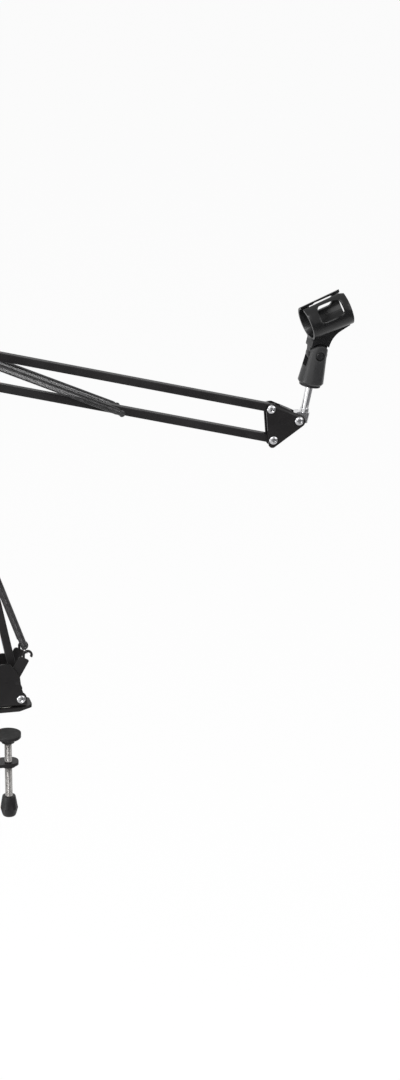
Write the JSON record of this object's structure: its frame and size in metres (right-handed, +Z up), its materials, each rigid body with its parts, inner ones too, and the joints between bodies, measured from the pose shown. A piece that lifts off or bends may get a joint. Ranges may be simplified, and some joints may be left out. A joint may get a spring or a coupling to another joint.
{
  "type": "microphone boom arm",
  "caption": "Desk-clamp scissor arm for a microphone: paired square-tube bars with outside balance springs, swivelling base, folded head bracket and a plastic microphone clip.",
  "frame": {"origin": "where the base's swivel axis meets the table top, on the face of the upper jaw's liner", "axes": "+Z up along the swivel axis, +X to the right over the table, towards the microphone, +Y away from the viewer; the arm lies in the plane Y = 0"},
  "size_m": [0.4649, 0.0434, 0.5576],
  "materials": {
    "black_paint": "satin",
    "black_plastic": "matte",
    "zinc": "zinc plated",
    "spring_steel": "drawn wire",
    "chrome": "polished",
    "rubber": "matte",
    "nylon": "smooth",
    "insert": "black oxide"
  },
  "bodies": {
    "clamp": {"clamp_frame": "black_paint", "jaw_liner": "rubber", "clamp_boss": "black_paint", "swivel_stud": "zinc", "swivel_disc": "nylon", "swivel_washer": "zinc", "swivel_nut": "zinc"},
    "pad": {"pressure_pad": "black_paint", "pad_liner": "rubber"},
    "screw": {"clamp_screw": "zinc", "clamp_knob": "black_plastic"},
    "base": {"base_bracket": "black_paint", "spring_anchor_front": "black_paint", "spring_anchor_rear": "black_paint", "anchor_rivets": "zinc", "base_pivot_bolts": "zinc", "base_pivot_washers": "zinc", "base_pivot_nuts": "zinc", "base_spacers": "zinc", "lower_spring_front": "spring_steel", "lower_spring_rear": "spring_steel"},
    "lower_right": {"lower_right_bar": "black_paint", "lower_right_sleeves": "zinc", "lower_right_plugs": "black_plastic", "lower_spring_pin": "zinc", "lower_pin_clip": "spring_steel"},
    "lower_left": {"lower_left_bar": "black_paint", "lower_left_sleeves": "zinc", "lower_left_plugs": "black_plastic"},
    "elbow": {"elbow_plate_front": "black_paint", "elbow_plate_rear": "black_paint", "elbow_bolts": "zinc", "elbow_washers": "zinc", "elbow_nuts": "zinc", "elbow_spring_pin": "zinc", "elbow_pin_clip": "spring_steel", "upper_spring_front": "spring_steel", "upper_spring_rear": "spring_steel"},
    "upper_bottom": {"upper_bottom_bar": "black_paint", "upper_bottom_sleeves": "zinc", "upper_bottom_plugs": "black_plastic", "upper_spring_pin": "zinc", "upper_pin_clip": "spring_steel"},
    "upper_top": {"upper_top_bar": "black_paint", "upper_top_sleeves": "zinc", "upper_top_plugs": "black_plastic"},
    "head": {"head_bracket": "black_paint", "head_bolts": "zinc", "head_washers": "zinc", "head_nuts": "zinc"},
    "post": {"swivel_lug": "chrome", "mic_post": "chrome"},
    "clip_foot": {"clip_base": "black_plastic", "thread_insert": "insert", "knuckle_screw": "zinc", "knuckle_nut": "zinc"},
    "clip_barrel": {"clip_holder": "black_plastic"}
  },
  "joints": [
    {"name": "pad_travel", "type": "slide", "parent": "clamp", "child": "pad", "axis": [0, 0, 1], "range_m": [-0.0152, 0.0202]},
    {"name": "screw_turn", "type": "hinge", "parent": "pad", "child": "screw", "pos_m": [0.004, 0, 0], "axis": [0, 0, 1], "range_deg": [-4320, 5760]},
    {"name": "base_swivel", "type": "hinge", "parent": "clamp", "child": "base", "pos_m": [0, 0, 0], "axis": [0, 0, 1], "continuous": true},
    {"name": "shoulder", "type": "hinge", "parent": "base", "child": "lower_right", "pos_m": [0.016, 0, 0.0142], "axis": [0, 1, 0], "range_deg": [-48, 60], "deforming": ["lower_spring_front", "lower_spring_rear"]},
    {"name": "lower_left_pivot", "type": "hinge", "parent": "base", "child": "lower_left", "pos_m": [-0.016, 0, 0.0142], "axis": [0, 1, 0], "range_deg": [-48, 60]},
    {"name": "elbow_level", "type": "hinge", "parent": "lower_right", "child": "elbow", "pos_m": [-0.05219, 0, 0.35239], "axis": [0, 1, 0], "range_deg": [-60, 48]},
    {"name": "elbow", "type": "hinge", "parent": "elbow", "child": "upper_bottom", "pos_m": [-0.04429, 0, 0.36769], "axis": [0, 1, 0], "range_deg": [-60, 44], "deforming": ["upper_spring_front", "upper_spring_rear"]},
    {"name": "upper_top_pivot", "type": "hinge", "parent": "elbow", "child": "upper_top", "pos_m": [-0.04668, 0, 0.40181], "axis": [0, 1, 0], "range_deg": [-60, 44]},
    {"name": "head_level", "type": "hinge", "parent": "upper_bottom", "child": "head", "pos_m": [0.2888, 0, 0.27782], "axis": [0, 1, 0], "range_deg": [-44, 60]},
    {"name": "post_tilt", "type": "hinge", "parent": "head", "child": "post", "pos_m": [0.31623, 0, 0.29688], "axis": [0, 1, 0], "range_deg": [-38, 60]},
    {"name": "clip_spin", "type": "hinge", "parent": "post", "child": "clip_foot", "pos_m": [0.33583, 0, 0.36697], "axis": [0.2011, 0, 0.9796], "continuous": true},
    {"name": "clip_tilt", "type": "hinge", "parent": "clip_foot", "child": "clip_barrel", "pos_m": [0.33583, 0, 0.36697], "axis": [-0.1532, 0.9877, 0.0315], "range_deg": [-55, 50]}
  ],
  "couplings": [
    {"joint": "pad_travel", "follows": "screw_turn", "m_per_rad": 0.00019894},
    {"joint": "lower_left_pivot", "follows": "shoulder", "ratio": 1},
    {"joint": "elbow_level", "follows": "shoulder", "ratio": -1},
    {"joint": "upper_top_pivot", "follows": "elbow", "ratio": 1},
    {"joint": "head_level", "follows": "elbow", "ratio": -1}
  ]
}
